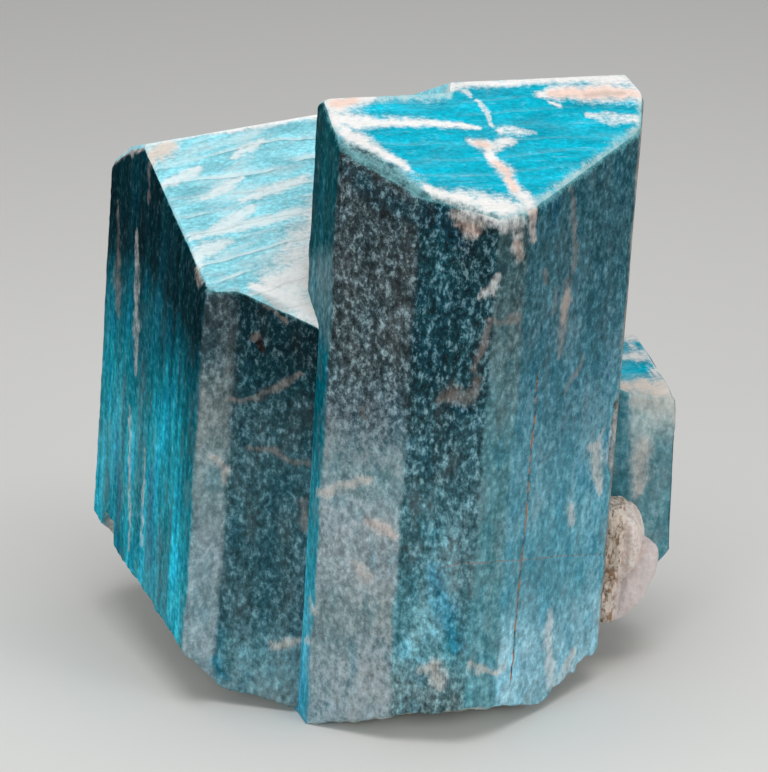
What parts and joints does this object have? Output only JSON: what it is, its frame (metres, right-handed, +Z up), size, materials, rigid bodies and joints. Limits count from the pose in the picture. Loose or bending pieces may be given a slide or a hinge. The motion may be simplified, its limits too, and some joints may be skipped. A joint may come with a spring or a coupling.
{
  "type": "rough amazonite crystal cluster",
  "caption": "Upright cluster of intergrown blocky blue-green feldspar crystals with sloping tops, prism faces, a broken base with a flat resting spot and a pale lump low on one side.",
  "frame": {"origin": "middle of the underside of the specimen's box, on the surface that it rests on", "axes": "+Z up, along the crystals; -Y towards the front, where the sloping tops face; +X to the right, towards the small rear crystal"},
  "size_m": [0.0614, 0.0416, 0.065],
  "materials": {
    "amazonite": "blue-green feldspar with white streaks; pearly cleavage-like tops, finely grooved and sparkling prism faces",
    "albite": "rough pinkish white feldspar with tan iron stains"
  },
  "bodies": {
    "root": {"amazonite_crystals": "amazonite", "albite_lump": "albite"}
  },
  "joints": []
}
